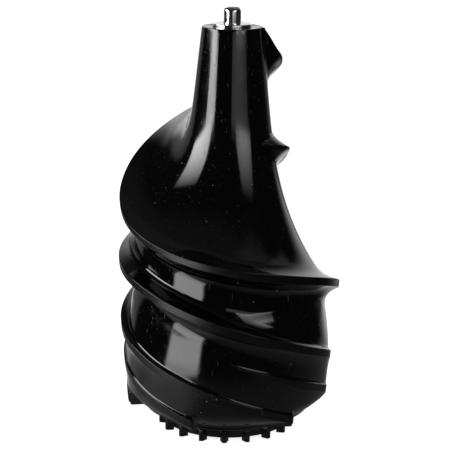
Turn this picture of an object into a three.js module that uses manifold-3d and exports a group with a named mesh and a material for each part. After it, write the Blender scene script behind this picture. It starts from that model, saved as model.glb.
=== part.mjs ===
// Squeezing screw of a cold press juicer. Millimetres, +Z up, front of the object faces -Y.
import * as THREE from 'three';
import { mergeVertices } from 'three/addons/utils/BufferGeometryUtils.js';
import Module from 'manifold-3d';

const wasm = await Module();
wasm.setup();

// Driving sizes of the screw
const neckTopHeight = 165.6;
const neckTopRadius = 12.2;
const neckTaper = 0.106;
const bodyFootHeight = 8.5;
const bodyFootRadius = 32.5;
const rimRadius = 46;
const rimFullHeight = 63;
const rimTaperBelow = 0.088;
const rimTaperAbove = 0.03;
const drumRadius = 42.1;
const drumMiddleHeight = 30;
const drumBarrel = 0.0042;
const bellTopHeight = 92;
const bellDrop = 38;
const bowlTopHeight = 17.5;
const bowlPower = 1.7;

// Helical flights: lead, rim band, and the curves above and below the band
const flightLead = 91;
const flightStarts = 6;
const endAngle = 41.2;
const endRimHeight = 13.3;
const bandHeight = 3.4;
const noseBandShare = 0.4;
const hollowLength = 9.5;
const hollowPower = 3.2;
const lipLength = 1.3;
const lipShare = 0.26;
const flareLength = 17.3;
const flareRun = 360;
const flareStartShare = 0.05;
const flarePower = 2.5;
const growPower = 1.5;
const noseRun = 150;
const endFaceAngle = 0.5;

// Departures of the two long flights from the even lead
const feedSag = { depth: 11, centre: -60, before: 105, after: 140 };
const feedLift = { depth: 5, from: -95, run: 95 };
const feedNose = { depth: 4.5, from: -262, run: 25 };
const secondSag = { depth: 4.4, from: -35, run: 85 };
const secondNose = { depth: 13, from: -250, run: 110 };
const sagBlend = 3;

// Nose of each long flight: share of the growth, its run and power, and the hollow below it
const feedTip = { share: 0.4, run: 75, power: 1, hollow: 18, curve: 2.4 };
const secondTip = { share: 0.25, run: 45, power: 1.8, hollow: 7.5, curve: 1.1 };
const noTip = { share: 0, run: 1, power: 1, hollow: hollowLength, curve: hollowPower };

// Flights, the long ones first: end face, start, nose, growth from the neck, and run of the band
const flights = [
  { end: endAngle + 240, start: -287, tip: feedTip, delay: 55, grow: 123, bandRun: 300 },
  { end: endAngle + 120, start: -322, tip: secondTip, delay: 60, grow: 205, bandRun: 230 },
  { end: endAngle, start: -235, tip: noTip, delay: 0, grow: 120, bandRun: 80 },
  { end: endAngle + 60, start: 2, tip: noTip, delay: 0, grow: 60, bandRun: 40 },
  { end: endAngle - 60, start: -165, tip: noTip, delay: 0, grow: 70, bandRun: 46 },
  { end: endAngle + 180, start: 122, tip: noTip, delay: 0, grow: 60, bandRun: 40 },
];
const windings = 3;

// Bearing pin, its sleeve and its flange on the neck
const pinDiameter = 7;
const pinStandOut = 6.6;
const pinShankLength = 24;
const pinDomeRadius = 1.7;
const pinGrooveDepth = 0.5;
const pinGrooveWidth = 1.4;
const pinGrooveCount = 3;
const pinGroovePitch = 3;
const pinGrooveStart = 4;
const pinFootChamfer = 0.6;
const flangeDiameter = 15.8;
const flangeThickness = 1.2;
const flangeEdge = 0.25;
const sleeveRadius = 5.4;
const sleeveLength = 15;
const sleeveKnurls = 24;
const sleeveKnurlDepth = 0.35;

// Hollow of the body and the hub plug that closes it
const plugSeatHeight = 11.2;
const plugRadius = 30.9;
const hollowRadius = 29.5;
const hollowShoulderHeight = 46;
const hollowShoulderRadius = 28;
const hollowNeckHeight = 68;
const hollowNeckRadius = 16;
const hollowTopHeight = 90;
const hollowTopRadius = 9;
const bossRadius = 21.4;
const bossFootHeight = 1;
const bossWall = 3.2;
const bossBeadReach = 1.1;
const bossBeadHeight = 0.4;
const recessTopHeight = 8.9;
const tubeRadius = 12.2;
const tubeFootHeight = 5.8;
const tubeTopHeight = 36;
const ribCount = 6;
const ribThickness = 2.2;
const ribTopHeight = 32;
const ribReach = 28;

// Steel drive bush with its collar and retaining clip
const bushAcrossFlats = 12;
const bushSides = 6;
const bushRadius = 8.8;
const bushFootHeight = 4;
const bushTopHeight = 40;
const bushSocketTop = 35;
const bushCollarRadius = 11;
const clipThickness = 1;
const clipRadius = 11.2;
const clipGrooveRadius = 7.9;
const clipGapWidth = 5;

// Toothed ring and the lip seal above it
const ringWallRadius = 25.6;
const ringFootHeight = 1.4;
const ringTopHeight = 4.9;
const toothCount = 18;
const toothPhase = -1.2;
const toothTipRadius = 28.2;
const toothRootWidth = 3.5;
const toothTipWidth = 1.5;
const toothRootDepth = 0.3;
const sealRadius = 28.6;
const sealWaistRadius = 25.2;
const sealLipTopHeight = 6;
const sealLipHeight = 5.3;

// Named clearances
const slipFit = 0.15;
const seatGap = 0.3;

// Mesh fineness
const columnStep = 7.5;
const bandShares = [0, 0.66];
const flareShares = [0, 0.1, 0.36, 0.66, 0.9];
const roundSegments = 48;
const fineSegments = 30;
const domeSteps = 4;

const halfTurn = 180;
const fullTurn = 360;
const degree = Math.PI / halfTurn;
const leadPerDegree = flightLead / fullTurn;
const startSpacing = flightLead / flightStarts;
const [feedFlight, secondFlight] = flights;
const clamp = (value, low, high) => Math.min(high, Math.max(low, value));
const mix = (from, to, share) => from + (to - from) * share;
const smooth = (share) => {
  const t = clamp(share, 0, 1);
  return t * t * (3 - 2 * t);
};

// The neck is a slim cone and the squeezing zone a barrel; a bell joins them over a bowl foot
const coneRadius = (z) => neckTopRadius + neckTaper * (neckTopHeight - z);
const barrelRadius = (z) => drumRadius - drumBarrel * (z - drumMiddleHeight) ** 2;
function coreRadius(z) {
  const share = smooth((bellTopHeight - z) / bellDrop);
  const radius = mix(coneRadius(z), barrelRadius(z), share);
  if (z >= bowlTopHeight) return radius;
  const drop = clamp((bowlTopHeight - z) / (bowlTopHeight - bodyFootHeight), 0, 1);
  return Math.min(radius, mix(bodyFootRadius, barrelRadius(bowlTopHeight), 1 - drop ** bowlPower));
}
function fullRimRadius(z) {
  const below = rimTaperBelow * Math.max(0, rimFullHeight - z);
  const above = rimTaperAbove * Math.max(0, z - rimFullHeight);
  return rimRadius - below - above;
}

// The two long flights drop faster at first and then run flatter than the even lead
const ramp = (angle, { depth, from, run }) => depth * smooth((from - angle) / run);
function feedSagAt(angle) {
  const width = angle > feedSag.centre ? feedSag.after : feedSag.before;
  const share = clamp((angle - feedSag.centre) / width, -1, 1);
  const sag = feedSag.depth * Math.cos(share * Math.PI / 2) ** 2;
  return sag - ramp(angle, feedLift) - ramp(angle, feedNose);
}
const secondSagAt = (angle) => ramp(angle, secondSag) + ramp(angle, secondNose);
const rimLevel = (flight, turn) => endRimHeight + leadPerDegree * flight.end + turn * flightLead;
function longFlightLines(angle) {
  const lines = [];
  for (let turn = -windings; turn <= windings; turn += 1) {
    const wound = angle - turn * fullTurn;
    const feedAngle = Math.max(wound, feedFlight.start);
    const secondAngle = Math.max(wound, secondFlight.start);
    lines.push({ level: rimLevel(feedFlight, turn), sag: feedSagAt(feedAngle) });
    lines.push({ level: rimLevel(secondFlight, turn), sag: secondSagAt(secondAngle) });
  }
  return lines.sort((a, b) => a.level - b.level);
}
function heightOf(level, angle, lines) {
  const upper = clamp(lines.findIndex((line) => level <= line.level), 1, lines.length - 1);
  const [low, high] = [lines[upper - 1], lines[upper]];
  const share = clamp((level - low.level) / (high.level - low.level), 0, 1);
  return level - leadPerDegree * angle - mix(low.sag, high.sag, share ** sagBlend);
}

// Rims that cross one meridian: height, radius and band of each, and the curves beside the band
const swelling = (share) => Math.sin(clamp(share, 0, 1) * Math.PI / 2);
function rimOf(flight, run, height) {
  const { tip } = flight;
  const swell = swelling((run - flight.delay) / flight.grow) ** growPower;
  const nose = swelling(run / tip.run) ** tip.power;
  const growth = mix(swell, nose, tip.share);
  const grown = smooth(run / noseRun);
  const root = coreRadius(Math.min(height, neckTopHeight));
  return {
    height,
    radius: mix(root, fullRimRadius(height), growth),
    band: bandHeight * clamp(run / flight.bandRun, noseBandShare, 1),
    flare: flareLength * clamp(run / flareRun, flareStartShare, 1),
    rise: mix(1, flarePower, grown),
    lip: lipShare * grown,
    hollow: mix(tip.hollow, hollowLength, grown),
    curve: mix(tip.curve, hollowPower, grown),
  };
}
function rimsAt(angle, lines) {
  const rims = [];
  for (const flight of flights) {
    for (let turn = -windings; turn <= windings; turn += 1) {
      const wound = angle + turn * fullTurn;
      if (wound < flight.start || wound > flight.end + endFaceAngle / 2) continue;
      const height = heightOf(rimLevel(flight, -turn), angle, lines);
      rims.push(rimOf(flight, wound - flight.start, height));
    }
  }
  return rims;
}
function surfaceRadius(z, rims) {
  const root = coreRadius(z);
  let radius = root;
  for (const rim of rims) {
    const above = z - rim.height;
    const below = rim.height - rim.band - z;
    let reach = rim.radius;
    if (above > 0) {
      const base = Math.min(coneRadius(z), rim.radius);
      const slope = Math.max(0, 1 - above / rim.flare / (rim.rise + 1)) ** rim.rise;
      reach = mix(base, rim.radius, mix(slope, Math.exp(-above / lipLength), rim.lip));
    } else if (below > 0) {
      if (z < endRimHeight - bandHeight) continue;
      const shrink = Math.max(0, 1 - below / rim.hollow) ** rim.curve;
      reach = root + Math.max(0, rim.radius - root) * shrink;
    }
    radius = Math.max(radius, reach);
  }
  return radius;
}

// The skin is a grid of meridians and helical rows, so that each rim's edges are rows
function meridians() {
  const angles = [];
  const perStart = fullTurn / flightStarts / columnStep;
  for (let k = 0; k < fullTurn / columnStep; k += 1) {
    const angle = endAngle - halfTurn + k * columnStep;
    angles.push(angle);
    if (k % perStart === 0) angles.push(angle + endFaceAngle);
  }
  return angles;
}
const rowBase = rimLevel(flights[2], 0);
const firstRow = -Math.ceil((rowBase + flightLead) / startSpacing);
const lastRow = Math.ceil((neckTopHeight + flightLead) / startSpacing);
function rowHeights(angle, lines) {
  const rimHeight = (k) => heightOf(rowBase + k * startSpacing, angle, lines);
  const heights = [];
  for (let k = firstRow; k < lastRow; k += 1) {
    const rim = rimHeight(k);
    const next = rimHeight(k + 1) - bandHeight;
    for (const share of bandShares) heights.push(rim - bandHeight * (1 - share));
    for (const share of flareShares) heights.push(mix(rim, next, share));
  }
  return heights;
}
function onScrew(radius, angle, z) {
  return [radius * Math.sin(angle * degree), -radius * Math.cos(angle * degree), z];
}
function skinGeometry() {
  const columns = meridians().map((angle) => {
    const lines = longFlightLines(angle);
    const rims = rimsAt(angle, lines);
    return rowHeights(angle, lines).map((height) => {
      const z = clamp(height, bodyFootHeight, neckTopHeight);
      return onScrew(surfaceRadius(z, rims), angle, z);
    });
  });
  const positions = [];
  const triangle = (...corners) => corners.forEach((corner) => positions.push(...corner));
  const top = [0, 0, neckTopHeight];
  const foot = [0, 0, bodyFootHeight];
  const rowsPerTurn = (bandShares.length + flareShares.length) * flightStarts;
  columns.forEach((left, i) => {
    const last = i === columns.length - 1;
    const right = columns[last ? 0 : i + 1];
    const shift = last ? rowsPerTurn : 0;
    for (let j = 0; j + 1 < left.length; j += 1) {
      const low = right[Math.max(0, j - shift)];
      const high = right[Math.max(0, j + 1 - shift)];
      triangle(left[j], low, high);
      triangle(left[j], high, left[j + 1]);
    }
    triangle(left.at(-1), right.at(-1), top);
    triangle(right[0], left[0], foot);
  });
  const geometry = new THREE.BufferGeometry();
  geometry.setAttribute('position', new THREE.Float32BufferAttribute(positions, 3));
  return cleaned(geometry);
}

// Shared geometry helpers
function cleaned(geometry) {
  const plain = geometry.clone();
  plain.deleteAttribute('normal');
  plain.deleteAttribute('uv');
  const merged = mergeVertices(plain, 1e-4);
  const index = merged.getIndex().array;
  const kept = [];
  for (let i = 0; i < index.length; i += 3) {
    const [a, b, c] = [index[i], index[i + 1], index[i + 2]];
    if (a !== b && b !== c && a !== c) kept.push(a, b, c);
  }
  merged.setIndex(kept);
  return merged;
}
function solid(geometry) {
  const merged = cleaned(geometry);
  const vertProperties = new Float32Array(merged.getAttribute('position').array);
  const triVerts = new Uint32Array(merged.getIndex().array);
  return new wasm.Manifold(new wasm.Mesh({ numProp: 3, vertProperties, triVerts }));
}
function geometryOf(manifold) {
  const mesh = manifold.getMesh();
  const geometry = new THREE.BufferGeometry();
  geometry.setAttribute('position', new THREE.BufferAttribute(new Float32Array(mesh.vertProperties), 3));
  geometry.setIndex(new THREE.BufferAttribute(new Uint32Array(mesh.triVerts), 1));
  return geometry;
}
function turned(profile, segments) {
  const points = profile.map(([radius, z]) => new THREE.Vector2(radius, z));
  const geometry = new THREE.LatheGeometry(points, segments);
  geometry.rotateX(Math.PI / 2);
  return geometry;
}
function ring(inner, outer, low, high, segments) {
  return turned([[inner, low], [outer, low], [outer, high], [inner, high], [inner, low]], segments);
}
function rod(radius, low, high, segments) {
  return turned([[0, low], [radius, low], [radius, high], [0, high]], segments);
}
function prism(points, low, high) {
  const shape = new THREE.Shape(points.map(([x, y]) => new THREE.Vector2(x, y)));
  const geometry = new THREE.ExtrudeGeometry(shape, { depth: high - low, bevelEnabled: false });
  geometry.translate(0, 0, low);
  return geometry;
}
function polygon(acrossFlats, sides) {
  const corner = acrossFlats / 2 / Math.cos(Math.PI / sides);
  return Array.from({ length: sides }, (unused, k) => {
    const angle = (k + 0.5) * 2 * Math.PI / sides;
    return [corner * Math.cos(angle), corner * Math.sin(angle)];
  });
}
function material(color, roughness, metalness) {
  return new THREE.MeshStandardMaterial({ color, roughness, metalness });
}

const group = new THREE.Group();
function add(name, geometry, look) {
  const mesh = new THREE.Mesh(geometry, look);
  mesh.name = name;
  group.add(mesh);
}
const glossyBlack = () => material(0x0b0b0d, 0.18, 0);
const mouldedGrey = () => material(0x2c2d30, 0.5, 0);
const steel = () => material(0xc9c9c6, 0.18, 1);
const silicone = () => material(0x1b1b1d, 0.6, 0);

// Bearing pin: domed top, grooved shank
const pinRadius = pinDiameter / 2;
const pinFootHeight = neckTopHeight - pinShankLength;
const pinTopHeight = neckTopHeight + flangeThickness + pinStandOut;
function pinProfile() {
  const profile = [[0, pinFootHeight], [pinRadius - pinFootChamfer, pinFootHeight]];
  profile.push([pinRadius, pinFootHeight + pinFootChamfer]);
  for (let k = 0; k < pinGrooveCount; k += 1) {
    const low = pinFootHeight + pinGrooveStart + k * pinGroovePitch;
    const waist = pinRadius - pinGrooveDepth;
    profile.push([pinRadius, low], [waist, low + pinGrooveDepth]);
    profile.push([waist, low + pinGrooveWidth - pinGrooveDepth], [pinRadius, low + pinGrooveWidth]);
  }
  for (let k = 0; k <= domeSteps; k += 1) {
    const angle = k / domeSteps * Math.PI / 2;
    const radius = pinRadius - pinDomeRadius * (1 - Math.cos(angle));
    profile.push([radius, pinTopHeight - pinDomeRadius * (1 - Math.sin(angle))]);
  }
  profile.push([0, pinTopHeight]);
  return profile;
}
add('top_pin', turned(pinProfile(), fineSegments), steel());

// Flange washer that the pin stands in
const pinHoleRadius = pinRadius + slipFit;
const flangeRadius = flangeDiameter / 2;
const flangeTopHeight = neckTopHeight + flangeThickness;
add('pin_flange', turned([
  [pinHoleRadius, neckTopHeight],
  [flangeRadius, neckTopHeight],
  [flangeRadius, flangeTopHeight - flangeEdge],
  [flangeRadius - flangeEdge, flangeTopHeight],
  [pinHoleRadius, flangeTopHeight],
  [pinHoleRadius, neckTopHeight],
], fineSegments), steel());

// Knurled sleeve in the neck that grips the pin
const sleeveFootHeight = neckTopHeight - sleeveLength;
function knurledOutline() {
  return Array.from({ length: sleeveKnurls * 2 }, (unused, k) => {
    const radius = sleeveRadius - (k % 2) * sleeveKnurlDepth;
    const angle = k * Math.PI / sleeveKnurls;
    return [radius * Math.cos(angle), radius * Math.sin(angle)];
  });
}
const sleeveBlank = solid(prism(knurledOutline(), sleeveFootHeight, neckTopHeight - seatGap));
const sleeveBore = solid(rod(pinHoleRadius, sleeveFootHeight - seatGap, neckTopHeight, fineSegments));
add('pin_sleeve', geometryOf(sleeveBlank.subtract(sleeveBore)), steel());

// Screw body with its pin bore, sleeve counterbore and hollow
const pinBore = solid(rod(pinHoleRadius, pinFootHeight, pinTopHeight, fineSegments));
const sleeveSeat = solid(rod(sleeveRadius + slipFit, sleeveFootHeight, pinTopHeight, fineSegments));
const hollow = solid(turned([
  [0, -seatGap],
  [plugRadius + slipFit, -seatGap],
  [plugRadius + slipFit, plugSeatHeight],
  [hollowRadius, plugSeatHeight],
  [hollowShoulderRadius, hollowShoulderHeight],
  [hollowNeckRadius, hollowNeckHeight],
  [hollowTopRadius, hollowTopHeight],
  [0, hollowTopHeight],
], roundSegments));
const body = solid(skinGeometry()).subtract(pinBore).subtract(sleeveSeat).subtract(hollow);
add('auger_body', geometryOf(body), glossyBlack());

// Hub plug: flange in the body's foot, boss for the toothed ring, tube for the bush, ribs
const beadTopHeight = ringFootHeight;
const beadFootHeight = beadTopHeight - bossBeadHeight;
const hubShell = solid(turned([
  [bushRadius + slipFit, tubeFootHeight],
  [tubeRadius, tubeFootHeight],
  [tubeRadius, recessTopHeight],
  [bossRadius - bossWall, recessTopHeight],
  [bossRadius - bossWall, bossFootHeight],
  [bossRadius + bossBeadReach / 2, bossFootHeight],
  [bossRadius + bossBeadReach, beadFootHeight + bossBeadHeight / 2],
  [bossRadius + bossBeadReach, beadTopHeight],
  [bossRadius, beadTopHeight],
  [bossRadius, bodyFootHeight],
  [plugRadius, bodyFootHeight],
  [plugRadius, plugSeatHeight],
  [tubeRadius, plugSeatHeight],
  [tubeRadius, tubeTopHeight],
  [bushRadius + slipFit, tubeTopHeight],
  [bushRadius + slipFit, tubeFootHeight],
], roundSegments));
let hub = hubShell;
const ribSunk = (tubeRadius + bushRadius) / 2;
for (let k = 0; k < ribCount; k += 1) {
  const half = ribThickness / 2;
  const outline = [[ribSunk, -half], [ribReach, -half], [ribReach, half], [ribSunk, half]];
  const rib = prism(outline, plugSeatHeight - seatGap, ribTopHeight);
  rib.rotateZ(k * 2 * Math.PI / ribCount);
  hub = hub.add(solid(rib));
}
add('base_hub', geometryOf(hub), mouldedGrey());

// Drive bush: blind hexagon socket, collar under the hub's tube, groove for the clip
const clipTopHeight = tubeTopHeight + clipThickness;
const bushBlank = solid(turned([
  [0, bushFootHeight],
  [bushCollarRadius, bushFootHeight],
  [bushCollarRadius, tubeFootHeight],
  [bushRadius, tubeFootHeight],
  [bushRadius, tubeTopHeight],
  [clipGrooveRadius, tubeTopHeight],
  [clipGrooveRadius, clipTopHeight + slipFit],
  [bushRadius, clipTopHeight + slipFit],
  [bushRadius, bushTopHeight],
  [0, bushTopHeight],
], roundSegments));
const socket = solid(prism(polygon(bushAcrossFlats, bushSides), bushFootHeight - seatGap, bushSocketTop));
add('drive_bush', geometryOf(bushBlank.subtract(socket)), steel());

// Open retaining clip on top of the tube
const clipBore = clipGrooveRadius + slipFit;
const clipBlank = solid(ring(clipBore, clipRadius, tubeTopHeight, clipTopHeight, roundSegments));
const clipHalfGap = clipGapWidth / 2;
const clipCut = solid(prism([
  [0, -clipHalfGap],
  [clipRadius * 2, -clipHalfGap],
  [clipRadius * 2, clipHalfGap],
  [0, clipHalfGap],
], tubeTopHeight - seatGap, clipTopHeight + seatGap));
add('bush_clip', geometryOf(clipBlank.subtract(clipCut)), steel());

// Toothed ring on the boss: the teeth stand out of its wall and reach below it
const ringBoreRadius = bossRadius + slipFit;
let toothedRing = solid(ring(ringBoreRadius, ringWallRadius, ringFootHeight, ringTopHeight, roundSegments));
const toothRootRadius = ringWallRadius - toothRootDepth;
const toothOutline = [
  [toothRootRadius, -toothRootWidth / 2],
  [toothTipRadius, -toothTipWidth / 2],
  [toothTipRadius, toothTipWidth / 2],
  [toothRootRadius, toothRootWidth / 2],
];
for (let k = 0; k < toothCount; k += 1) {
  const tooth = prism(toothOutline, 0, ringTopHeight);
  tooth.rotateZ((toothPhase - halfTurn / 2) * degree + k * 2 * Math.PI / toothCount);
  toothedRing = toothedRing.add(solid(tooth));
}
add('tooth_ring', geometryOf(toothedRing), glossyBlack());

// Lip seal between the toothed ring and the body's foot
add('seal_ring', turned([
  [ringBoreRadius, ringTopHeight],
  [sealWaistRadius, ringTopHeight],
  [sealRadius, sealLipHeight],
  [sealRadius, sealLipTopHeight],
  [sealWaistRadius, bodyFootHeight],
  [ringBoreRadius, bodyFootHeight],
  [ringBoreRadius, ringTopHeight],
], roundSegments), silicone());

export default group;
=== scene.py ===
import math

import bpy
import numpy as np
from mathutils import Matrix


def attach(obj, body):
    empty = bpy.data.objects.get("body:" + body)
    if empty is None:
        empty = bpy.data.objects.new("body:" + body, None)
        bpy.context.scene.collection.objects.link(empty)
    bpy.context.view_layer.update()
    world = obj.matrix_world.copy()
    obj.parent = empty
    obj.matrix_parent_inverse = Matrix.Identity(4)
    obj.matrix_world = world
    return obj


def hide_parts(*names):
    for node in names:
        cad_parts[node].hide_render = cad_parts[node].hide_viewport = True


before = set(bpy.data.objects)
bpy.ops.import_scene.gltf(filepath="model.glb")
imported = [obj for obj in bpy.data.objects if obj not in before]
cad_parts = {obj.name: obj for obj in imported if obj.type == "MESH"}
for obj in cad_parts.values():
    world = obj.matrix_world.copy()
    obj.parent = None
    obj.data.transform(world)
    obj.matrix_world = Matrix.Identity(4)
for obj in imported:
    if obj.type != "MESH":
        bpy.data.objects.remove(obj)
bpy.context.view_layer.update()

MM = 0.001
BODY = "root"

# Vertex attribute that is 1 on the outer faces of the rims
RIM_FACE = "rim_face"

# The photograph's camera: image size and focal length in pixels, place in metres, angles in degrees
IMAGE_SIZE = 450
FOCAL_PIXELS = 1678
SENSOR_WIDTH = 36
CAMERA_DISTANCE = 0.668
CAMERA_HEIGHT = 0.2451
CAMERA_PITCH = 13.55
CAMERA_ROLL = 0.885
CAMERA_YAW = 0.143
CLIP_NEAR = 0.05
CLIP_FAR = 20

# The screw's moulded body, in millimetres. Sizes as in the solids, except that the rims are 0.1 smaller
# and slant, inside the solids' box, and that the flare starts higher up the neck.
NECK_TOP = 165.6
NECK_TOP_RADIUS = 12.2
NECK_TAPER = 0.106
FOOT = 8.5
FOOT_RADIUS = 32.5
RIM_RADIUS = 45.9
RIM_FULL_HEIGHT = 63
RIM_TAPER_BELOW = 0.088
RIM_TAPER_ABOVE = 0.03
DRUM_RADIUS = 42.1
DRUM_MIDDLE = 30
DRUM_BARREL = 0.0042
BELL_TOP = 92
BELL_DROP = 38
BOWL_TOP = 17.5
BOWL_POWER = 1.7
LEAD = 91
STARTS = 6
END_ANGLE = 41.2
END_STEP = 360 // STARTS
END_RIM_HEIGHT = 13.3
BAND = 3.4
BAND_SLANT = 0.08
NOSE_BAND_SHARE = 0.4
HOLLOW_LENGTH = 9.5
HOLLOW_POWER = 3.2
LIP = 1.3
LIP_SHARE = 0.26
FLARE = 18.1
FLARE_RUN = 360
FLARE_START_SHARE = 0.05
FLARE_POWER = 3.5
NOSE_RUN = 150
GROW_POWER = 1.5

# Departures of the two long flights from the even lead
FEED_SAG = {"depth": 11, "centre": -60, "before": 105, "after": 140}
FEED_LIFT = {"depth": 5, "start": -95, "run": 95}
FEED_NOSE = {"depth": 4.5, "start": -262, "run": 25}
SECOND_SAG = {"depth": 4.4, "start": -35, "run": 85}
SECOND_NOSE = {"depth": 13, "start": -250, "run": 110}
SAG_BLEND = 3

# Fuller floor of the channel between the two long flights, where it shows in front: least radius, how far
# that lies below the upper rim, how fast it widens downwards and how far, and where it fades in and out
CHANNEL_RADIUS = 38.5
CHANNEL_DROP = 15.5
CHANNEL_WIDENING = 0.03
CHANNEL_WIDEST = 45
CHANNEL_IN = {"start": -160, "run": 60}
CHANNEL_OUT = {"start": 25, "run": 50}

# Nose of each long flight: share of the growth, its run and power, and the hollow below it
FEED_TIP = {"share": 0.4, "run": 75, "power": 1, "hollow": 18, "curve": 2.4}
SECOND_TIP = {"share": 0.25, "run": 45, "power": 1.8, "hollow": 7.5, "curve": 1.1}
NO_TIP = {"share": 0, "run": 1, "power": 1, "hollow": HOLLOW_LENGTH, "curve": HOLLOW_POWER}

# Flights, the two long ones first: end face, start, nose, growth from the neck, and run of the band
FLIGHTS = [
    {"end": END_ANGLE + 240, "start": -287, "tip": FEED_TIP, "delay": 55, "grow": 123, "band": 300},
    {"end": END_ANGLE + 120, "start": -322, "tip": SECOND_TIP, "delay": 60, "grow": 205, "band": 230},
    {"end": END_ANGLE, "start": -235, "tip": NO_TIP, "delay": 0, "grow": 120, "band": 80},
    {"end": END_ANGLE + 60, "start": 2, "tip": NO_TIP, "delay": 0, "grow": 60, "band": 40},
    {"end": END_ANGLE - 60, "start": -165, "tip": NO_TIP, "delay": 0, "grow": 70, "band": 46},
    {"end": END_ANGLE + 180, "start": 122, "tip": NO_TIP, "delay": 0, "grow": 60, "band": 40},
]
FEED, SECOND, THIRD = FLIGHTS[:3]

# Fineness of the moulded body's skin, in degrees and millimetres: meridians, how far the plain ones keep
# from an end face, samples of a profile, rounding, rims that the rows run between, and a rim face's bounds
COLUMN_STEP = 2
END_CLEARANCE = 0.9
PROFILE_STEP = 0.025
EDGE_ROUND = 0.35
CORNER_STEPS = 5
HOLLOW_ROUND = 1.8
END_CUT = 0.04
FIRST_RIM = -14
LAST_RIM = 20
FACE_INSET = 0.2
FACE_REACH = 0.12
END_OFFSETS = (-0.48, -0.36, -0.24, -0.14, -0.06, 0, END_CUT)
BAND_OFFSETS = (0, 0.03, 0.08, 0.15, 0.24, 0.35, 0.55, 1, 1.7, 2.4, 2.85, 3.05, 3.16, 3.25, 3.32, 3.37)
FLARE_OFFSETS = (0, 0.02, 0.06, 0.12, 0.22, 0.4, 0.7, 1.1, 1.6, 2.2, 3, 4, 5, 6, 7, 8, 8.8, 9.5,
                 10.1, 10.6, 11, 11.3, 11.5, 11.62, 11.7, 11.74)

# Hollow of the body and the seats in it, radius and height in millimetres
HOLLOW_PROFILE = [(31.05, FOOT), (31.05, 11.2), (29.5, 11.2), (28, 46), (16, 68), (9, 90)]
BORE_PROFILE = [(5.55, NECK_TOP), (5.55, 150.6), (3.65, 150.6), (3.65, 141.6)]


def clamp(value, low, high):
    return np.minimum(high, np.maximum(low, value))


def mix(low, high, share):
    return low + (high - low) * share


def smooth(share):
    t = clamp(share, 0, 1)
    return t * t * (3 - 2 * t)


def quarter_wave(share):
    return math.sin(clamp(share, 0, 1) * math.pi / 2)


def cone_radius(z):
    return NECK_TOP_RADIUS + NECK_TAPER * (NECK_TOP - z)


def barrel_radius(z):
    return DRUM_RADIUS - DRUM_BARREL * (z - DRUM_MIDDLE) ** 2


def core_radius(z):
    share = smooth((BELL_TOP - z) / BELL_DROP)
    radius = mix(cone_radius(z), barrel_radius(z), share)
    drop = clamp((BOWL_TOP - z) / (BOWL_TOP - FOOT), 0, 1)
    bowl = mix(FOOT_RADIUS, barrel_radius(BOWL_TOP), 1 - drop ** BOWL_POWER)
    return np.where(z < BOWL_TOP, np.minimum(radius, bowl), radius)


def full_rim_radius(z):
    below = RIM_TAPER_BELOW * np.maximum(0, RIM_FULL_HEIGHT - z)
    above = RIM_TAPER_ABOVE * np.maximum(0, z - RIM_FULL_HEIGHT)
    return RIM_RADIUS - below - above


def ramp(angle, sag):
    return sag["depth"] * smooth((sag["start"] - angle) / sag["run"])


def feed_sag(angle):
    width = FEED_SAG["after"] if angle > FEED_SAG["centre"] else FEED_SAG["before"]
    share = clamp((angle - FEED_SAG["centre"]) / width, -1, 1)
    sag = FEED_SAG["depth"] * math.cos(share * math.pi / 2) ** 2
    return sag - ramp(angle, FEED_LIFT) - ramp(angle, FEED_NOSE)


def second_sag(angle):
    return ramp(angle, SECOND_SAG) + ramp(angle, SECOND_NOSE)


def rim_level(flight, turn=0):
    return END_RIM_HEIGHT + LEAD / 360 * flight["end"] + turn * LEAD


def long_flight_lines(angle):
    lines = []
    for turn in range(-4, 5):
        wound = angle - turn * 360
        lines.append((rim_level(FEED, turn), feed_sag(max(wound, FEED["start"]))))
        lines.append((rim_level(SECOND, turn), second_sag(max(wound, SECOND["start"]))))
    return sorted(lines)


def height_of(level, angle, lines):
    upper = next((k for k, line in enumerate(lines) if level <= line[0]), len(lines) - 1)
    upper = max(1, upper)
    (low, low_sag), (high, high_sag) = lines[upper - 1], lines[upper]
    share = clamp((level - low) / (high - low), 0, 1)
    return level - LEAD / 360 * angle - mix(low_sag, high_sag, share ** SAG_BLEND)


def channel_share(wound):
    fade_in = smooth((wound - CHANNEL_IN["start"]) / CHANNEL_IN["run"])
    return fade_in * (1 - smooth((wound - CHANNEL_OUT["start"]) / CHANNEL_OUT["run"]))


def rims_at(angle, lines, past_end):
    """Height, radius, band and flare of each rim on one meridian."""
    rims = []
    for flight in FLIGHTS:
        for turn in range(-2, 3):
            wound = angle + turn * 360
            if wound < flight["start"] or wound > flight["end"] + END_CUT / 2:
                continue
            if past_end and wound > flight["end"] - 1:
                continue
            height = height_of(rim_level(flight, -turn), angle, lines)
            run = wound - flight["start"]
            tip = flight["tip"]
            swell = quarter_wave((run - flight["delay"]) / flight["grow"]) ** GROW_POWER
            nose = quarter_wave(run / tip["run"]) ** tip["power"]
            growth = mix(swell, nose, tip["share"])
            grown = smooth(run / NOSE_RUN)
            root = float(core_radius(np.float64(min(height, NECK_TOP))))
            rims.append({
                "height": height,
                "channel": channel_share(wound) if flight is FEED else 0,
                "channel_foot": height_of(rim_level(SECOND, -turn), angle, lines) - BAND / 2,
                "radius": mix(root, full_rim_radius(height), growth),
                "band": BAND * clamp(run / flight["band"], NOSE_BAND_SHARE, 1),
                "flare": FLARE * clamp(run / FLARE_RUN, FLARE_START_SHARE, 1),
                "rise": mix(1, FLARE_POWER, grown),
                "lip": LIP_SHARE * grown,
                "hollow": mix(tip["hollow"], HOLLOW_LENGTH, grown),
                "curve": mix(tip["curve"], HOLLOW_POWER, grown),
            })
    return rims


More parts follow.
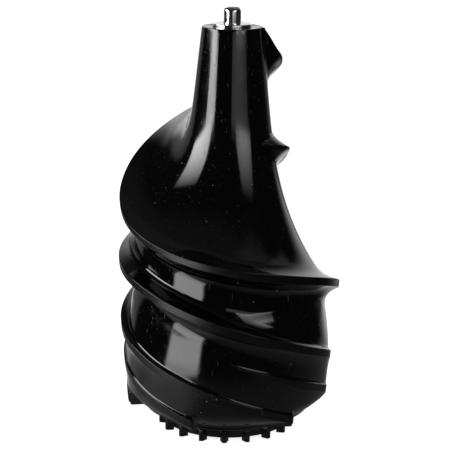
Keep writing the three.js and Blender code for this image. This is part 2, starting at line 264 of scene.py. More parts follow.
def channel_radius(rims, z):
    """Radius between the rims: the bare core, and the fuller floor of the channel in front."""
    core = core_radius(z)
    radius = core
    for rim in rims:
        depth = np.maximum(0, rim["height"] - CHANNEL_DROP - z)
        filled = np.minimum(CHANNEL_WIDEST, CHANNEL_RADIUS + CHANNEL_WIDENING * depth ** 2)
        fuller = np.maximum(0, filled - core)
        within = (z > rim["channel_foot"]) & (z < rim["height"] - rim["band"] / 2)
        radius = np.where(within, np.maximum(radius, core + rim["channel"] * fuller), radius)
    return radius


def rim_share(rims, z, radius):
    """1 on the outer face of a rim, 0 elsewhere."""
    share = np.zeros(len(z))
    for rim in rims:
        depth = rim["height"] - z
        face = rim["radius"] - BAND_SLANT * clamp(depth, 0, rim["band"])
        inside = (depth > FACE_INSET) & (depth < rim["band"] - FACE_INSET)
        share = np.where(inside & (np.abs(radius - face) < FACE_REACH), 1, share)
    return share


def profile_of(rims, z):
    """Radius of the screw at each height of one meridian."""
    root = channel_radius(rims, z)
    radius = root
    for rim in rims:
        above = np.maximum(z - rim["height"], 0)
        below = np.maximum(rim["height"] - rim["band"] - z, 0)
        base = np.minimum(cone_radius(z), rim["radius"])
        slope = np.maximum(0, 1 - above / rim["flare"] / (rim["rise"] + 1)) ** rim["rise"]
        flared = mix(base, rim["radius"], mix(slope, np.exp(-above / LIP), rim["lip"]))
        shrink = np.maximum(0, 1 - below / rim["hollow"]) ** rim["curve"]
        hollowed = root + np.maximum(0, rim["radius"] - BAND_SLANT * rim["band"] - root) * shrink
        face = rim["radius"] - BAND_SLANT * np.minimum(rim["band"], np.maximum(0, rim["height"] - z))
        reach = np.where(above > 0, flared, np.where(below > 0, hollowed, face))
        cut = (below > 0) & (z < END_RIM_HEIGHT - BAND)
        radius = np.maximum(radius, np.where(cut, root, reach))
    return radius


def rolled(profiles, ball, inside):
    """Rolls a ball along the inside or the outside of the profiles, which rounds their corners."""
    reach = int(ball / PROFILE_STEP)
    sign = 1 if inside else -1
    shapes = profiles * sign
    for shrink in (True, False):
        padded = np.pad(shapes, ((0, 0), (reach, reach)), mode="edge")
        best = None
        for k in range(2 * reach + 1):
            lift = math.sqrt(max(0, ball ** 2 - ((k - reach) * PROFILE_STEP) ** 2))
            moved = padded[:, k:k + shapes.shape[1]] + (-lift if shrink else lift)
            if best is None:
                best = moved
            else:
                best = np.minimum(best, moved) if shrink else np.maximum(best, moved)
        shapes = best
    return shapes * sign


def column_angles():
    """Meridians round the screw, closer together at the six end faces."""
    first = END_ANGLE - 180
    ends = [first + END_STEP * k for k in range(STARTS + 1)]
    plain = [first + COLUMN_STEP * k for k in range(1, 360 // COLUMN_STEP)]
    plain = [a for a in plain if min(abs(a - end) for end in ends) > END_CLEARANCE]
    close = [end + offset for end in ends for offset in END_OFFSETS]
    return sorted(a for a in plain + close if first <= a < first + 360)


def row_shares():
    """Rows from one rim's lower edge to the next one's, as (step of the band or flare, share)."""
    gap = LEAD / STARTS - BAND
    band = [("band", offset / BAND) for offset in BAND_OFFSETS]
    flare = [("flare", offset / gap) for offset in FLARE_OFFSETS]
    return band + flare


def column_heights(angle, lines):
    """Heights of the helical rows on one meridian, so that every rim's edges are rows."""
    base = rim_level(THIRD)
    spacing = LEAD / STARTS
    rims = [height_of(base + k * spacing, angle, lines) for k in range(FIRST_RIM, LAST_RIM + 2)]
    heights = []
    for rim, following in zip(rims, rims[1:]):
        bottom = rim - BAND
        for part, share in row_shares():
            if part == "band":
                heights.append(bottom + share * BAND)
            else:
                heights.append(mix(rim, following - BAND, share))
    return np.array(heights)


def skin():
    """Angle, row heights, row radii and share of rim face of each meridian of the screw's skin."""
    samples = np.arange(FOOT, NECK_TOP + PROFILE_STEP, PROFILE_STEP)
    angles = column_angles()
    all_lines = [long_flight_lines(a) for a in angles]
    with_ends = np.array([profile_of(rims_at(a, n, False), samples) for a, n in zip(angles, all_lines)])
    without = np.array([profile_of(rims_at(a, n, True), samples) for a, n in zip(angles, all_lines)])
    with_ends = rolled(rolled(with_ends, EDGE_ROUND, True), HOLLOW_ROUND, False)
    without = rolled(rolled(without, EDGE_ROUND, True), HOLLOW_ROUND, False)
    columns = []
    for i, (angle, lines) in enumerate(zip(angles, all_lines)):
        beyond = (angle - END_ANGLE) % END_STEP
        before_end = END_STEP - beyond if beyond > 1 else 0
        past = 0 < beyond < 1
        run = math.radians(before_end) * full_rim_radius(END_RIM_HEIGHT)
        inset = max(0, EDGE_ROUND - run)
        drop = EDGE_ROUND - math.sqrt(EDGE_ROUND ** 2 - inset ** 2)
        radii = with_ends[i] if past or drop == 0 else np.maximum(without[i], with_ends[i] - drop)
        heights = column_heights(angle, lines)
        inside = clamp(heights, FOOT + EDGE_ROUND, NECK_TOP - EDGE_ROUND)
        outward = np.interp(inside, samples, radii)
        columns.append((angle, inside, outward, rim_share(rims_at(angle, lines, False), inside, outward)))
    return columns


def corner_rows(radius, height, outward):
    """Rows that round the skin over into a flat end face."""
    rows = []
    for step in range(1, CORNER_STEPS + 1):
        turn = step / CORNER_STEPS * math.pi / 2
        inset = EDGE_ROUND * (1 - math.cos(turn))
        rows.append((radius - inset, height + outward * EDGE_ROUND * math.sin(turn)))
    return rows


def screw_geometry():
    """Vertices in metres, faces, and share of rim face by vertex, of the closed moulded body."""
    columns = skin()
    low, high = FOOT + EDGE_ROUND, NECK_TOP - EDGE_ROUND
    vertices, maps, rim_shares = [], [], []
    for angle, heights, radii, on_rim in columns:
        first = int(np.searchsorted(heights, low, side="right")) - 1
        last = int(np.searchsorted(heights, high, side="left"))
        foot = HOLLOW_PROFILE[::-1] + corner_rows(radii[first], low, -1)[::-1]
        neck = corner_rows(radii[last], high, 1) + BORE_PROFILE
        rows = foot + list(zip(radii[first:last + 1], heights[first:last + 1])) + neck
        rim_shares += [0] * len(foot) + on_rim[first:last + 1].tolist() + [0] * len(neck)
        start = len(vertices)
        turn = math.radians(angle)
        vertices += [(r * math.sin(turn) * MM, -r * math.cos(turn) * MM, z * MM) for r, z in rows]
        grid = np.clip(np.arange(len(heights)), first, last) - first + start + len(foot)
        maps.append({
            "foot": [start + k for k in range(len(foot))],
            "grid": grid,
            "neck": [start + len(foot) + last - first + 1 + k for k in range(len(neck))],
        })
    rows_per_turn = len(row_shares()) * STARTS
    hollow_top = len(vertices)
    vertices.append((0, 0, HOLLOW_PROFILE[-1][1] * MM))
    bore_foot = len(vertices)
    vertices.append((0, 0, BORE_PROFILE[-1][1] * MM))
    rim_shares += [0, 0]
    faces = []
    for i, left in enumerate(maps):
        is_last = i == len(maps) - 1
        right = maps[0 if is_last else i + 1]
        shift = rows_per_turn if is_last else 0
        other = right["grid"][np.maximum(np.arange(len(left["grid"])) - shift, 0)]
        quads = np.stack([left["grid"][:-1], other[:-1], other[1:], left["grid"][1:]], 1)
        faces += [face for face in map(distinct, quads.tolist()) if len(face) > 2]
        ends = ((left["foot"] + [left["grid"][0]], right["foot"] + [right["grid"][0]]),
                ([left["grid"][-1]] + left["neck"], [right["grid"][-1]] + right["neck"]))
        for a, b in ends:
            faces += [(a[k], b[k], b[k + 1], a[k + 1]) for k in range(len(a) - 1)]
        faces.append((hollow_top, right["foot"][0], left["foot"][0]))
        faces.append((bore_foot, left["neck"][-1], right["neck"][-1]))
    return vertices, faces, rim_shares


def distinct(face):
    """A quad without its repeated corners."""
    return [v for k, v in enumerate(face) if v != face[k - 1]]


# Shared mesh helpers
def new_object(name, data):
    piece = bpy.data.objects.new(name, data)
    bpy.context.scene.collection.objects.link(piece)
    return piece


def mesh_object(name, vertices, faces):
    mesh = bpy.data.meshes.new(name)
    mesh.from_pydata(vertices, [], faces)
    mesh.validate()
    return new_object(name, mesh)


def applied(piece):
    """Applies the piece's modifiers and returns its new mesh."""
    graph = bpy.context.evaluated_depsgraph_get()
    mesh = bpy.data.meshes.new_from_object(piece.evaluated_get(graph))
    piece.modifiers.clear()
    piece.data = mesh
    return mesh


def finished(piece, sharp_angle):
    """Applies the modifiers and shades smooth between edges sharper than that angle, in degrees."""
    mesh = applied(piece)
    mesh.shade_smooth()
    if sharp_angle:
        mesh.set_sharp_from_angle(angle=math.radians(sharp_angle))
    return piece


def lathe_faces(profile, segments, closed):
    """Vertices and faces of a profile of (radius, height) in millimetres turned round the axis."""
    vertices, rings = [], []
    for radius, height in profile:
        if radius == 0:
            rings.append([len(vertices)] * segments)
            vertices.append((0, 0, height * MM))
            continue
        rings.append([len(vertices) + k for k in range(segments)])
        for k in range(segments):
            turn = 2 * math.pi * k / segments
            vertices.append((radius * math.cos(turn) * MM, radius * math.sin(turn) * MM, height * MM))
    faces = []
    pairs = list(zip(rings, rings[1:]))
    if closed:
        pairs.append((rings[-1], rings[0]))
    for low, high in pairs:
        for k in range(segments):
            after = (k + 1) % segments
            face = distinct([low[k], low[after], high[after], high[k]])
            if len(face) > 2:
                faces.append(face)
    return vertices, faces


def lathe(name, profile, segments):
    """Turned piece. A profile that doesn't start and end on the axis closes on itself."""
    closed = profile[0][0] != 0 or profile[-1][0] != 0
    return mesh_object(name, *lathe_faces(profile, segments, closed))


def prism(name, outline, low, high):
    """Upright prism of an outline of (x, y) in millimetres."""
    count = len(outline)
    vertices = [(x * MM, y * MM, z * MM) for z in (low, high) for x, y in outline]
    faces = [tuple(reversed(range(count))), tuple(range(count, 2 * count))]
    faces += [(k, (k + 1) % count, count + (k + 1) % count, count + k) for k in range(count)]
    return mesh_object(name, vertices, faces)


def boolean(piece, other, operation):
    modifier = piece.modifiers.new(operation.lower(), "BOOLEAN")
    modifier.operation = operation
    modifier.solver = "EXACT"
    modifier.object = other
    applied(piece)
    bpy.data.objects.remove(other)
    return piece


def bevel(piece, width, segments, angle):
    modifier = piece.modifiers.new("bevel", "BEVEL")
    modifier.width = width * MM
    modifier.segments = segments
    modifier.limit_method = "ANGLE"
    modifier.angle_limit = math.radians(angle)
    return piece


def place(piece, node, material):
    """The piece takes that material, joins the body, and hides that node of the solids in its stead."""
    piece.data.materials.clear()
    piece.data.materials.append(material)
    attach(piece, BODY)
    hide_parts(node)
    return piece


# Material helpers
def new_material(name):
    material = bpy.data.materials.new(name)
    material.use_nodes = True
    material.node_tree.nodes.clear()
    return material


class Nodes:
    """Adds nodes to a tree and links them by socket name."""

    def __init__(self, tree):
        self.tree = tree

    def add(self, kind, inputs=None, **settings):
        node = self.tree.nodes.new(kind)
        for key, value in settings.items():
            setattr(node, key, value)
        for key, value in (inputs or {}).items():
            socket = node.inputs[key]
            if isinstance(value, bpy.types.NodeSocket):
                self.tree.links.new(value, socket)
            else:
                socket.default_value = value
        return node

    def math(self, operation, first, second=None, clamped=False):
        inputs = {k: v for k, v in enumerate((first, second)) if v is not None}
        return self.add("ShaderNodeMath", inputs, operation=operation, use_clamp=clamped).outputs[0]

    def noise(self, vector, scale, detail=2.0, roughness=0.5, distortion=0.0):
        inputs = {"Vector": vector, "Scale": scale, "Detail": detail, "Roughness": roughness,
                  "Distortion": distortion}
        return self.add("ShaderNodeTexNoise", inputs).outputs["Fac"]

    def ramp(self, value, low, high, to_low=0.0, to_high=1.0):
        inputs = {"Value": value, "From Min": low, "From Max": high, "To Min": to_low, "To Max": to_high}
        return self.add("ShaderNodeMapRange", inputs, interpolation_type="SMOOTHSTEP").outputs[0]

    def stretched(self, vector, scale):
        return self.add("ShaderNodeMapping", {"Vector": vector, "Scale": scale}).outputs[0]

    def blend(self, factor, first, second):
        inputs = {"Factor": factor, 6: first, 7: second}
        node = self.add("ShaderNodeMix", inputs, data_type="RGBA")
        return node.outputs[2]

    def bump(self, height, distance, strength=1.0, normal=None):
        inputs = {"Height": height, "Distance": distance, "Strength": strength}
        if normal is not None:
            inputs["Normal"] = normal
        return self.add("ShaderNodeBump", inputs).outputs[0]

    def finish(self, shader):
        self.add("ShaderNodeOutputMaterial", {"Surface": shader})


def joined(nodes, operation, values):
    """The values joined by that operation, from the first to the last."""
    result = values[0]
    for value in values[1:]:
        result = nodes.math(operation, result, value)
    return result


def total(nodes, *values):
    return joined(nodes, "ADD", values)


def greatest(nodes, *values):
    return joined(nodes, "MAXIMUM", values)


def product(nodes, *values):
    return joined(nodes, "MULTIPLY", values)


# Hair scratches: direction in radians, and length and width in metres
HAIRLINES = [
    {"lean": (0.5, 0.3, 0.0), "length": 0.006, "width": 0.0003},
    {"lean": (1.2, -0.4, 0.9), "length": 0.009, "width": 0.0003},
    {"lean": (-0.3, 1.1, 0.4), "length": 0.005, "width": 0.00025},
]
HAIRLINE_LEVEL = 0.83
HAIRLINE_SOFTNESS = 0.05


def grey(level, tint=0.0):
    return (level * (1 + tint), level, level * (1 - tint), 1)


def hairlines(nodes, point, kind):
    """Short straight scratches that run along one leaning direction."""
    fine, coarse = 1 / kind["width"], 1 / kind["length"]
    inputs = {"Vector": point, "Rotation": kind["lean"], "Scale": (fine, fine, coarse)}
    along = nodes.add("ShaderNodeMapping", inputs).outputs[0]
    return nodes.ramp(nodes.noise(along, 1.0, 0.0), HAIRLINE_LEVEL, HAIRLINE_LEVEL + HAIRLINE_SOFTNESS)


def specks(nodes, point, scale, size, share):
    """Small round specks in a few of the cells of a grid without order."""
    cells = nodes.add("ShaderNodeTexVoronoi", {"Vector": point, "Scale": scale})
    near = nodes.ramp(cells.outputs["Distance"], size * 0.6, size, 1.0, 0.0)
    pick = nodes.add("ShaderNodeSeparateColor", {"Color": cells.outputs["Color"]}).outputs[0]
    return nodes.math("MULTIPLY", near, nodes.ramp(pick, 1 - share, 1 - share + 0.002))


def gloss_plastic(name, base, roughness, wear):
    """Moulded black plastic with mould waves, fine rings, hair scratches and dust."""
    material = new_material(name)
    nodes = Nodes(material.node_tree)
    point = nodes.add("ShaderNodeTexCoord").outputs["Object"]
    waves = nodes.noise(point, 90, 2.0, 0.4)
    grain = nodes.noise(nodes.stretched(point, (160, 160, 2600)), 1.0, 3.0, 0.6)
    pores = nodes.noise(point, 2600, 2.0, 0.5)
    smudge = nodes.noise(point, 46, 4.0, 0.62, 0.4)
    wiped = nodes.noise(nodes.stretched(point, (40, 40, 11)), 1.0, 4.0, 0.6, 1.2)
    scratch = greatest(nodes, *[hairlines(nodes, point, kind) for kind in HAIRLINES])
    dust = greatest(nodes, specks(nodes, point, 260, 0.06, 0.04), specks(nodes, point, 900, 0.16, 0.012))
    on_rim = nodes.add("ShaderNodeAttribute", attribute_name=RIM_FACE).outputs["Fac"]
    lengthwise = nodes.noise(nodes.stretched(point, (60, 60, 1400)), 1.0, 3.0, 0.6)
    satin = nodes.math("MULTIPLY", on_rim, nodes.ramp(lengthwise, 0.3, 0.7, 0.24, 0.38))
    haze = nodes.math("MULTIPLY", nodes.ramp(smudge, 0.45, 0.75), nodes.ramp(wiped, 0.35, 0.7))
    rough = nodes.math("ADD", roughness, nodes.math("MULTIPLY", haze, 0.16 * wear))
    texture = nodes.math("MULTIPLY", grain, pores)
    rough = nodes.math("ADD", rough, nodes.math("MULTIPLY", texture, 0.10 * wear))
    rough = nodes.math("ADD", rough, nodes.math("MULTIPLY", nodes.math("ADD", dust, scratch), 0.4))
    rough = nodes.math("ADD", rough, satin)
    color = nodes.blend(nodes.ramp(haze, 0.0, 1.0), grey(base), grey(base * 1.8, 0.02))
    color = nodes.blend(nodes.math("MULTIPLY", scratch, 0.2 * wear), color, grey(0.18))
    color = nodes.blend(nodes.math("MULTIPLY", dust, 0.85), color, grey(0.42, 0.03))
    normal = nodes.bump(waves, 0.00003)
    normal = nodes.bump(grain, 0.0000016, 1.0, normal)
    normal = nodes.bump(pores, 0.0000006, 1.0, normal)
    marks = nodes.math("SUBTRACT", dust, nodes.math("MULTIPLY", scratch, 0.6))
    normal = nodes.bump(marks, 0.00003, 0.6, normal)
    shader = nodes.add("ShaderNodeBsdfPrincipled", {
        "Base Color": color,
        "Roughness": rough,
        "Specular IOR Level": nodes.math("SUBTRACT", 0.5, nodes.math("MULTIPLY", on_rim, 0.18)),
        "Normal": normal,
    })
    nodes.finish(shader.outputs[0])
    return material


def turned_steel(name, base, roughness, rings):
    """Stainless steel with fine turning marks round the axis."""
    material = new_material(name)
    nodes = Nodes(material.node_tree)
    point = nodes.add("ShaderNodeTexCoord").outputs["Object"]
    along = nodes.noise(nodes.stretched(point, (60, 60, rings)), 1.0, 3.0, 0.7)
    across = nodes.add("ShaderNodeTexWave", {"Vector": point, "Scale": rings / 14, "Distortion": 0.6,
                                             "Detail": 2.0, "Detail Scale": 3.0},
                       wave_type="RINGS", rings_direction="Z").outputs["Fac"]
    cloud = nodes.noise(point, 240, 4.0, 0.6)
    rough = nodes.math("ADD", roughness, nodes.math("MULTIPLY", cloud, 0.10))
    color = nodes.blend(cloud, grey(base * 0.93, 0.01), grey(base, 0.015))
    normal = nodes.bump(along, 0.0000022)
    normal = nodes.bump(across, 0.0000012, 1.0, normal)
    shader = nodes.add("ShaderNodeBsdfPrincipled", {
        "Base Color": color,
        "Metallic": 1.0,
        "Roughness": rough,
        "Normal": normal,
    })
    nodes.finish(shader.outputs[0])
    return material


def matt_plastic(name, base, roughness):
    """Fine-grained moulded plastic or rubber."""
    material = new_material(name)
    nodes = Nodes(material.node_tree)
    point = nodes.add("ShaderNodeTexCoord").outputs["Object"]
    grain = nodes.noise(point, 3200, 3.0, 0.6)
    cloud = nodes.noise(point, 70, 4.0, 0.6)
    dust = specks(nodes, point, 500, 0.14, 0.02)
    color = nodes.blend(cloud, grey(base * 0.8), grey(base * 1.25, 0.01))
    color = nodes.blend(nodes.math("MULTIPLY", dust, 0.7), color, grey(0.3, 0.03))
    rough = nodes.math("ADD", roughness, nodes.math("MULTIPLY", cloud, 0.14))
    shader = nodes.add("ShaderNodeBsdfPrincipled", {
        "Base Color": color,
        "Roughness": rough,
        "Normal": nodes.bump(grain, 0.000012),
    })
    nodes.finish(shader.outputs[0])
    return material


SCREW_BLACK = gloss_plastic("screw_black", 0.0012, 0.045, 1.0)
RING_BLACK = gloss_plastic("ring_black", 0.005, 0.14, 0.7)
PIN_STEEL = turned_steel("pin_steel", 0.78, 0.06, 2600)
FLANGE_STEEL = turned_steel("flange_steel", 0.8, 0.12, 2200)
PLAIN_STEEL = turned_steel("plain_steel", 0.62, 0.2, 1800)
HUB_PLASTIC = matt_plastic("hub_plastic", 0.02, 0.42)
SEAL_RUBBER = matt_plastic("seal_rubber", 0.014, 0.26)


# The moulded screw
def make_screw():
    vertices, faces, rim_shares = screw_geometry()
    piece = mesh_object("screw_skin", vertices, faces)
    piece.data.attributes.new(RIM_FACE, "FLOAT", "POINT").data.foreach_set("value", rim_shares)
    finished(piece, None)
    place(piece, "auger_body", SCREW_BLACK)


# Pin, flange and what is under the neck
PIN_RADIUS = 3.5
PIN_TOP = 173.4
PIN_FOOT = 141.6
PIN_DOME = 1.7
PIN_CHAMFER = 0.6
GROOVES = 3
GROOVE_START = 4
GROOVE_PITCH = 3
GROOVE_DEPTH = 0.5
GROOVE_FLOOR_END = 0.9
GROOVE_WIDTH = 1.4
FLANGE_RADIUS = 7.9
FLANGE_THICKNESS = 1.2
FLANGE_HOLE = 3.65
FLANGE_EDGE = 0.3


def arc(radius, height, ball, start, end, steps):
    """Points of a rounded corner round a centre, angles in degrees from outward to up."""
    points = []
    for k in range(steps + 1):
        turn = math.radians(mix(start, end, k / steps))
        points.append((radius + ball * math.cos(turn), height + ball * math.sin(turn)))
    return points


def make_pin():
    profile = [(0, PIN_FOOT), (PIN_RADIUS - PIN_CHAMFER, PIN_FOOT), (PIN_RADIUS, PIN_FOOT + PIN_CHAMFER)]
    inner = PIN_RADIUS - GROOVE_DEPTH
    for k in range(GROOVES):
        low = PIN_FOOT + GROOVE_START + GROOVE_PITCH * k
        profile += [(PIN_RADIUS, low), (inner, low + GROOVE_DEPTH)]
        profile += [(inner, low + GROOVE_FLOOR_END), (PIN_RADIUS, low + GROOVE_WIDTH)]
    profile += arc(PIN_RADIUS - PIN_DOME, PIN_TOP - PIN_DOME, PIN_DOME, 0, 90, 10)
    profile.append((0, PIN_TOP))
    piece = finished(lathe("bearing_pin", profile, 96), 35)
    place(piece, "top_pin", PIN_STEEL)


def make_flange():
    low, high = NECK_TOP, NECK_TOP + FLANGE_THICKNESS
    profile = [(FLANGE_HOLE, low), (FLANGE_RADIUS, low)]
    profile += arc(FLANGE_RADIUS - FLANGE_EDGE, high - FLANGE_EDGE, FLANGE_EDGE, 0, 90, 5)
    profile.append((FLANGE_HOLE, high))
    piece = finished(lathe("neck_flange", profile, 128), 50)
    place(piece, "pin_flange", FLANGE_STEEL)


# Toothed ring and lip seal, with the solids' sizes
BOSS_RADIUS = 21.4
SLIP = 0.15
RING_WALL = 25.6
RING_FOOT = 1.4
RING_TOP = 4.9
RING_BEVEL = 0.16
TEETH = 18
TOOTH_PHASE = -1.2
TOOTH_TIP = 28.2
TOOTH_ROOT_DEPTH = 0.3
TOOTH_ROOT_WIDTH = 3.5
TOOTH_TIP_WIDTH = 1.5
SEAL_RADIUS = 28.6
SEAL_WAIST = 25.2
SEAL_LIP_FOOT = 5.3
SEAL_LIP_TOP = 6
SEAL_LIP_ROUND = 0.33


def turned_point(x, y, turn):
    return x * math.cos(turn) - y * math.sin(turn), x * math.sin(turn) + y * math.cos(turn)


def tooth_outline(turn):
    """Outline of one tooth, from its root in the ring's wall to its narrow tip."""
    root = RING_WALL - TOOTH_ROOT_DEPTH
    outline = [
        (root, -TOOTH_ROOT_WIDTH / 2),
        (TOOTH_TIP, -TOOTH_TIP_WIDTH / 2),
        (TOOTH_TIP, TOOTH_TIP_WIDTH / 2),
        (root, TOOTH_ROOT_WIDTH / 2),
    ]
    return [turned_point(x, y, turn) for x, y in outline]


def make_tooth_ring():
    inner = BOSS_RADIUS + SLIP
    wall = [(inner, RING_FOOT), (RING_WALL, RING_FOOT), (RING_WALL, RING_TOP), (inner, RING_TOP)]
    ring = lathe("tooth_ring_moulding", wall, 180)
    for k in range(TEETH):
        turn = math.radians(TOOTH_PHASE - 90) + 2 * math.pi * k / TEETH
        boolean(ring, prism("tooth", tooth_outline(turn), 0, RING_TOP), "UNION")
    finished(bevel(ring, RING_BEVEL, 2, 35), 40)
    place(ring, "tooth_ring", RING_BLACK)


def make_seal():
    inner = BOSS_RADIUS + SLIP
    middle = (SEAL_LIP_FOOT + SEAL_LIP_TOP) / 2
    profile = [(inner, RING_TOP), (SEAL_WAIST, RING_TOP)]
    profile += arc(SEAL_RADIUS - SEAL_LIP_ROUND, middle, SEAL_LIP_ROUND, -80, 70, 8)
    profile += [(SEAL_WAIST, FOOT), (inner, FOOT)]
    piece = finished(lathe("lip_seal", profile, 180), 60)
    place(piece, "seal_ring", SEAL_RUBBER)


# Hub plug and drive bush, seen from below
PLUG_SEAT = 11.2
PLUG_RADIUS = 30.9
BOSS_FOOT = 1
BOSS_WALL = 3.2
BEAD_REACH = 1.1
BEAD_FOOT = 1.2
RECESS_TOP = 8.9
TUBE_RADIUS = 12.2
TUBE_FOOT = 5.8
TUBE_TOP = 36
RIBS = 6
RIB_THICKNESS = 2.2
RIB_TOP = 32
RIB_REACH = 28
RIB_SINK = 0.3
HUB_BEVEL = 0.2
BUSH_RADIUS = 8.8
BUSH_FOOT = 4
BUSH_TOP = 40
SOCKET_TOP = 35
SOCKET_FLATS = 12
SOCKET_OVERRUN = 1
BUSH_BEVEL = 0.25
COLLAR_RADIUS = 11
CLIP_GROOVE = 7.9
CLIP_TOP = 37.15


def make_hub():
    bore = BUSH_RADIUS + SLIP
    inner = BOSS_RADIUS - BOSS_WALL
    shell = [
        (bore, TUBE_FOOT), (TUBE_RADIUS, TUBE_FOOT), (TUBE_RADIUS, RECESS_TOP), (inner, RECESS_TOP),
        (inner, BOSS_FOOT), (BOSS_RADIUS + BEAD_REACH / 2, BOSS_FOOT), (BOSS_RADIUS + BEAD_REACH, BEAD_FOOT),
        (BOSS_RADIUS + BEAD_REACH, RING_FOOT), (BOSS_RADIUS, RING_FOOT), (BOSS_RADIUS, FOOT),
        (PLUG_RADIUS, FOOT), (PLUG_RADIUS, PLUG_SEAT), (TUBE_RADIUS, PLUG_SEAT), (TUBE_RADIUS, TUBE_TOP),
        (bore, TUBE_TOP),
    ]
    hub = lathe("hub_plug", shell, 144)
    sunk = (TUBE_RADIUS + BUSH_RADIUS) / 2
    half = RIB_THICKNESS / 2
    for k in range(RIBS):
        turn = 2 * math.pi * k / RIBS
        corners = [(sunk, -half), (RIB_REACH, -half), (RIB_REACH, half), (sunk, half)]
        rib = prism("rib", [turned_point(x, y, turn) for x, y in corners], PLUG_SEAT - RIB_SINK, RIB_TOP)
        boolean(hub, rib, "UNION")
    finished(bevel(hub, HUB_BEVEL, 2, 40), 40)
    place(hub, "base_hub", HUB_PLASTIC)


def make_bush():
    profile = [
        (0, BUSH_FOOT), (COLLAR_RADIUS, BUSH_FOOT), (COLLAR_RADIUS, TUBE_FOOT), (BUSH_RADIUS, TUBE_FOOT),
        (BUSH_RADIUS, TUBE_TOP), (CLIP_GROOVE, TUBE_TOP), (CLIP_GROOVE, CLIP_TOP), (BUSH_RADIUS, CLIP_TOP),
        (BUSH_RADIUS, BUSH_TOP), (0, BUSH_TOP),
    ]
    bush = lathe("hexagon_bush", profile, 144)
    corner = SOCKET_FLATS / 2 / math.cos(math.pi / 6)
    outline = [turned_point(corner, 0, (k + 0.5) * math.pi / 3) for k in range(6)]
    boolean(bush, prism("socket", outline, BUSH_FOOT - SOCKET_OVERRUN, SOCKET_TOP), "DIFFERENCE")
    finished(bevel(bush, BUSH_BEVEL, 2, 40), 40)
    place(bush, "drive_bush", PLAIN_STEEL)


def dress_hidden_nodes():
    for node in ("pin_sleeve", "bush_clip"):
        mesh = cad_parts[node].data
        mesh.materials.clear()
        mesh.materials.append(PLAIN_STEEL)


# Stage: floor, world, lamps and camera. Bearings from the front to the right, elevations up, in degrees
FLOOR_HALF = 3.0
FLOOR_SEEN = 0.86
FRONT_LEVEL = 0.015
TOP_LEVEL = 0.06
BACK_LEVEL = 0.9
OTHER_LEVEL = 0.45

# Soft boxes that the gloss mirrors: side, bearings and elevations, how far the inner edge leans out and
# the lower edge rises outwards, in degrees by degree. The level falls towards the upper edge with that
# fade, and away from that bearing; soft edges to the sides and blurred ones above and below.
PANELS = [
    {"side": -1, "inner": 46, "outer": 75, "low": -3, "high": 3.6, "lean": 0.5, "rise": 0, "level": 8.6,
     "fade": 0, "middle": 62, "reach": 40, "soft": 2, "blur": 2.4},
    {"side": -1, "inner": 52.5, "outer": 104, "low": 0.2, "high": 28.5, "lean": 0.6, "rise": 0.085,
     "level": 14, "fade": 1, "middle": 77, "reach": 45, "soft": 2.5, "blur": 3},
    {"side": 1, "inner": 2, "outer": 50, "low": -3, "high": 6, "lean": 0, "rise": 0, "level": 0.7,
     "fade": 0, "middle": 15, "reach": 50, "soft": 2.5, "blur": 3},
    {"side": 1, "inner": 12, "outer": 55, "low": 5, "high": 30, "lean": 0.9, "rise": 0, "level": 4,
     "fade": 1.4, "middle": 33, "reach": 30, "soft": 3, "blur": 4},
    {"side": 1, "inner": 50, "outer": 122, "low": 46, "high": 70, "lean": 0, "rise": 0, "level": 0.1,
     "fade": 0, "middle": 86, "reach": 90, "soft": 16, "blur": 12},
    {"side": 1, "inner": 104, "outer": 136, "low": 33, "high": 50, "lean": 0, "rise": 0, "level": 0.25,
     "fade": 0, "middle": 120, "reach": 60, "soft": 16, "blur": 10},
    {"side": -1, "inner": 150, "outer": 174, "low": 16, "high": 38, "lean": 0, "rise": 0, "level": 1,
     "fade": 0, "middle": 160, "reach": 60, "soft": 18, "blur": 14},
    {"side": -1, "inner": 124, "outer": 160, "low": -20, "high": 14, "lean": 0, "rise": 0, "level": 0.25,
     "fade": 0, "middle": 140, "reach": 80, "soft": 10, "blur": 8},
]


def bearing(nodes, x, y):
    """Degrees from the front, negative to the left."""
    angle = nodes.math("ARCTAN2", x, nodes.math("MULTIPLY", y, -1.0))
    return nodes.math("DEGREES", angle)


def between(nodes, value, low, high, soft):
    """1 between the two limits, with soft edges that wide."""
    rise = nodes.ramp(value, low - soft / 2, low + soft / 2)
    fall = nodes.ramp(value, high - soft / 2, high + soft / 2, 1.0, 0.0)
    return nodes.math("MULTIPLY", rise, fall)


def panel_level(nodes, angle, elevation, panel):
    """Brightness of one soft box in that direction."""
    out = nodes.math("MULTIPLY", angle, panel["side"])
    risen = nodes.math("MULTIPLY", nodes.math("SUBTRACT", out, panel["inner"]), panel["rise"])
    up = nodes.math("SUBTRACT", nodes.math("SUBTRACT", elevation, panel["low"]), risen)
    leaned = nodes.math("SUBTRACT", out, nodes.math("MULTIPLY", up, panel["lean"]))
    soft = panel["soft"]
    inside = nodes.ramp(leaned, panel["inner"] - soft / 2, panel["inner"] + soft / 2)
    outside = nodes.ramp(out, panel["outer"] - soft / 2, panel["outer"] + soft / 2, 1.0, 0.0)
    height = between(nodes, up, 0.0, panel["high"] - panel["low"], panel["blur"])
    aside = nodes.math("DIVIDE", nodes.math("SUBTRACT", out, panel["middle"]), panel["reach"])
    bulge = nodes.math("SUBTRACT", 1.0, nodes.math("MULTIPLY", aside, aside))
    climbed = nodes.math("DIVIDE", up, panel["high"] - panel["low"])
    fade = nodes.math("POWER", nodes.math("SUBTRACT", 1.0, climbed, clamped=True), panel["fade"])
    return product(nodes, inside, outside, height, bulge, fade, panel["level"])


